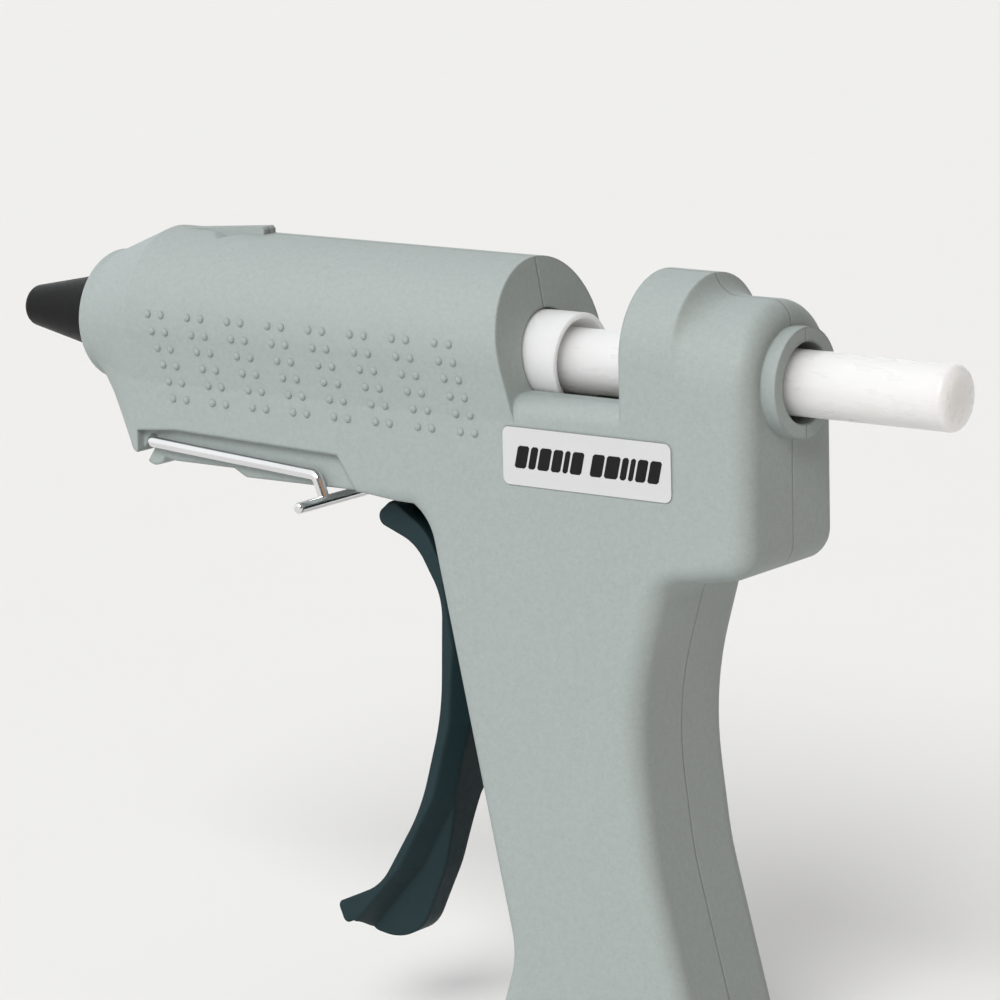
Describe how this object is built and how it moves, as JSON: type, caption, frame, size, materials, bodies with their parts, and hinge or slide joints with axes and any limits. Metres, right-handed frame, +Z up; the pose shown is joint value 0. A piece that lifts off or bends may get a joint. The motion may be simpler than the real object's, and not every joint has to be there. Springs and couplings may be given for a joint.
{
  "type": "hot-melt glue gun",
  "caption": "Hand-held glue gun with a barrel, closed-grip handle, squeeze trigger, folding wire stand and a glue stick fed through the rear block.",
  "frame": {"origin": "centre of the nozzle's mouth, on the glue stick's axis", "axes": "+X back along the glue stick, +Z up out of the barrel's top with the handle hanging below, +Y to the gun's right side"},
  "size_m": [0.201, 0.043, 0.1445],
  "materials": {
    "housing": "fine spark-eroded grain",
    "screw": "zinc plated",
    "label": "printed film, semi-gloss",
    "nozzle": "machined",
    "cap": "silicone, satin",
    "steel": "ground",
    "spring": "drawn spring wire",
    "chamber": "die cast",
    "film": "amber polyimide film",
    "tile": "fired ceramic",
    "plate": "rolled sheet",
    "fuse": "tinned can",
    "insulator": "moulded heat-resistant resin",
    "sleeve": "moulded silicone",
    "carriage": "glass-filled nylon, satin",
    "claw": "stamped and hardened",
    "trigger": "satin moulding",
    "wire": "nickel plated wire",
    "live": "fibreglass sleeved lead, brown",
    "neutral": "fibreglass sleeved lead, blue",
    "terminal": "moulded nylon",
    "clampbar": "moulded nylon",
    "bush": "moulded rubber",
    "stick": "translucent hot-melt adhesive"
  },
  "bodies": {
    "housing": {"housing_left": "housing", "housing_right": "housing", "housing_screws": "screw", "label_plate": "label", "nozzle": "nozzle", "nozzle_cap": "cap", "valve_seat": "steel", "check_spring": "spring", "melt_chamber": "chamber", "heater_film": "film", "heater_tiles": "tile", "electrode_upper": "plate", "electrode_lower": "plate", "thermal_fuse": "fuse", "front_insulator": "insulator", "rear_insulator": "insulator", "inlet_sleeve": "sleeve", "sleeve_clamp": "spring", "trigger_pivot_pin": "steel", "trigger_spring": "spring", "live_lead": "live", "neutral_lead": "neutral", "terminal_block": "terminal", "terminal_screws": "screw", "cord_clamp_bar": "clampbar", "cord_clamp_screws": "screw", "cord_bush": "bush"},
    "trigger": {"trigger": "trigger"},
    "carriage": {"feed_carriage": "carriage", "claw_pin": "steel", "claw_spring": "spring"},
    "claw": {"grip_claw": "claw"},
    "stick": {"glue_stick": "stick"},
    "stand": {"stand_wire": "wire"},
    "valve_ball": {"check_ball": "steel"}
  },
  "joints": [
    {"name": "trigger_pull", "type": "hinge", "parent": "housing", "child": "trigger", "pos_m": [0.099, 0, -0.0206], "axis": [0, -1, 0], "range_deg": [0, 12.5], "stiffness_Nm_per_rad": 0.6, "springref_deg": -17.19, "deforming": ["trigger_spring"]},
    {"name": "carriage_feed", "type": "slide", "parent": "housing", "child": "carriage", "axis": [-1, 0, 0], "range_m": [0, 0.0046]},
    {"name": "claw_bite", "type": "hinge", "parent": "carriage", "child": "claw", "pos_m": [0.11, 0, 0.0093], "axis": [0, -1, 0], "range_deg": [0, 6.9], "deforming": ["claw_spring"]},
    {"name": "stick_feed", "type": "slide", "parent": "housing", "child": "stick", "axis": [-1, 0, 0], "range_m": [-0.08, 0.03]},
    {"name": "stand_swing", "type": "hinge", "parent": "housing", "child": "stand", "pos_m": [0.0389, 0, -0.02], "axis": [0, 1, 0], "range_deg": [0, 105]},
    {"name": "check_valve", "type": "slide", "parent": "housing", "child": "valve_ball", "axis": [-1, 0, 0], "range_m": [0, 0.001], "stiffness_N_per_m": 50, "springref_m": -0.001, "deforming": ["check_spring"]}
  ],
  "couplings": [
    {"joint": "carriage_feed", "follows": "trigger_pull", "m_per_rad": 0.0206},
    {"joint": "claw_bite", "follows": "trigger_pull", "ratio": 0.54}
  ]
}
